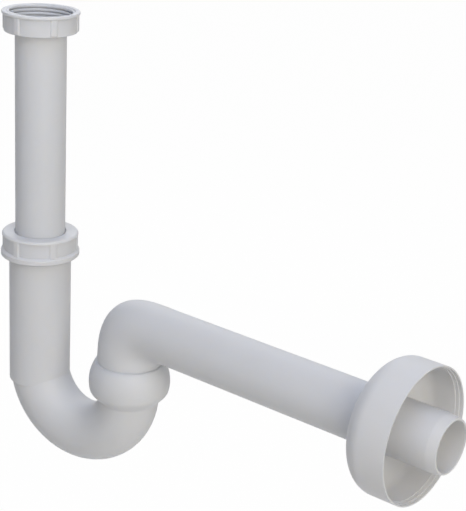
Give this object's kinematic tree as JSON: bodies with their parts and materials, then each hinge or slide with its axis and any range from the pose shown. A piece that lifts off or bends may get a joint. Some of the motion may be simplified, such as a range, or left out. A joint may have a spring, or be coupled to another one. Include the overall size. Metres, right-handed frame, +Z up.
{
  "type": "tubular trap",
  "caption": "White tubular basin trap: union nut, straight inlet tube, moulded U-bend with a ball-shaped swivel socket, straight outlet pipe and bell-shaped wall rosette.",
  "frame": {"origin": "centre of the union nut's mouth, where the basin waste screws in", "axes": "+Z up along the inlet tube, +X along the outlet pipe towards the wall"},
  "size_m": [0.3349, 0.0806, 0.292],
  "materials": {
    "white_plastic": "satin moulded polypropylene",
    "grey_rubber": "matt moulded rubber"
  },
  "bodies": {
    "union_nut": {"union_nut": "white_plastic"},
    "tube": {"inlet_tube": "white_plastic", "union_gasket": "grey_rubber"},
    "trap": {"trap_bend": "white_plastic", "slip_ring": "white_plastic", "wedge_seal": "grey_rubber", "lip_seal": "grey_rubber"},
    "compression_nut": {"compression_nut": "white_plastic"},
    "outlet": {"outlet_pipe": "white_plastic"},
    "rosette": {"rosette": "white_plastic"}
  },
  "joints": [
    {"name": "union_turn", "type": "hinge", "parent": "union_nut", "child": "tube", "pos_m": [0, 0, 0], "axis": [0, 0, 1], "continuous": true},
    {"name": "height_slide", "type": "slide", "parent": "tube", "child": "trap", "axis": [0, 0, 1], "range_m": [-0.03, 0.03]},
    {"name": "compression_turn", "type": "hinge", "parent": "trap", "child": "compression_nut", "pos_m": [0, 0, -0.151], "axis": [0, 0, 1], "continuous": true},
    {"name": "outlet_swivel", "type": "hinge", "parent": "trap", "child": "outlet", "pos_m": [0.07526, 0.00711, -0.225], "axis": [0, 0, 1], "range_deg": [-115, 115]},
    {"name": "rosette_slide", "type": "slide", "parent": "outlet", "child": "rosette", "axis": [1, 0, 0], "range_m": [-0.13, 0.006]}
  ]
}
